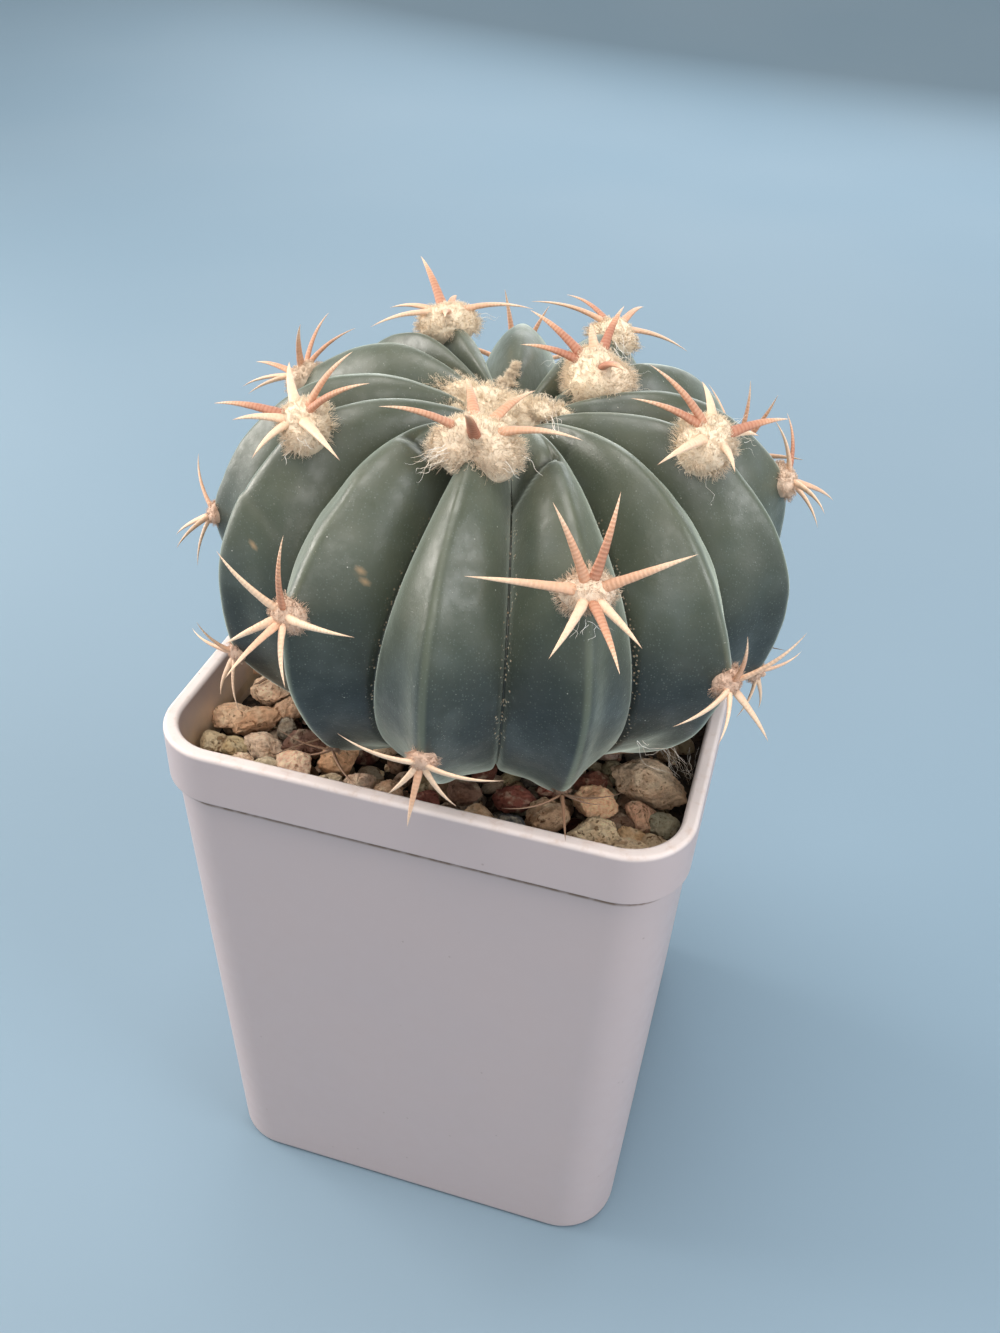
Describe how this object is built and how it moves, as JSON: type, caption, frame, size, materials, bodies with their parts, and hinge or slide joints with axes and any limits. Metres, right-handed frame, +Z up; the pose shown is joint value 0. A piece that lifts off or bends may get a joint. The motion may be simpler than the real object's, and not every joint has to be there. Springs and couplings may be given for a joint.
{
  "type": "potted ribbed globe cactus",
  "caption": "Depressed globe cactus with sharp straight ribs, woolly areoles and stars of flat curved spines, in a square off-white plastic pot dressed with pumice gravel.",
  "frame": {"origin": "middle of the pot's flat underside", "axes": "+Z up along the pot's axis, -Y out of the pot's front face, +X to the right of it"},
  "size_m": [0.0962, 0.0986, 0.1561],
  "materials": {
    "pot": "matte",
    "substrate": "matte",
    "gravel": "matte",
    "skin": "satin",
    "wool": "matte",
    "spine": "satin"
  },
  "bodies": {
    "root": {"pot": "pot", "substrate": "substrate", "gravel": "gravel", "cactus_body": "skin", "crown_wool": "wool", "areole_rib_01_upper": "spine", "areole_rib_01_lower": "spine", "areole_rib_02_middle": "spine", "areole_rib_02_lower": "spine", "areole_rib_03_middle": "spine", "areole_rib_04_upper": "spine", "areole_rib_04_lower": "spine", "areole_rib_05_middle": "spine", "areole_rib_06_upper": "spine", "areole_rib_07_upper": "spine", "areole_rib_09_upper": "spine", "areole_rib_11_middle": "spine", "areole_rib_12_middle": "spine", "areole_rib_13_upper": "spine", "areole_rib_13_lower": "spine", "areole_rib_14_middle": "spine", "areole_rib_14_lower": "spine", "areole_rib_08_middle": "spine", "areole_rib_10_middle": "spine", "areole_rib_06_middle": "spine", "areole_rib_07_lower": "spine", "areole_rib_09_middle": "spine", "areole_rib_05_lower": "spine", "areole_rib_08_lower": "spine", "areole_rib_11_lower": "spine"}
  },
  "joints": []
}
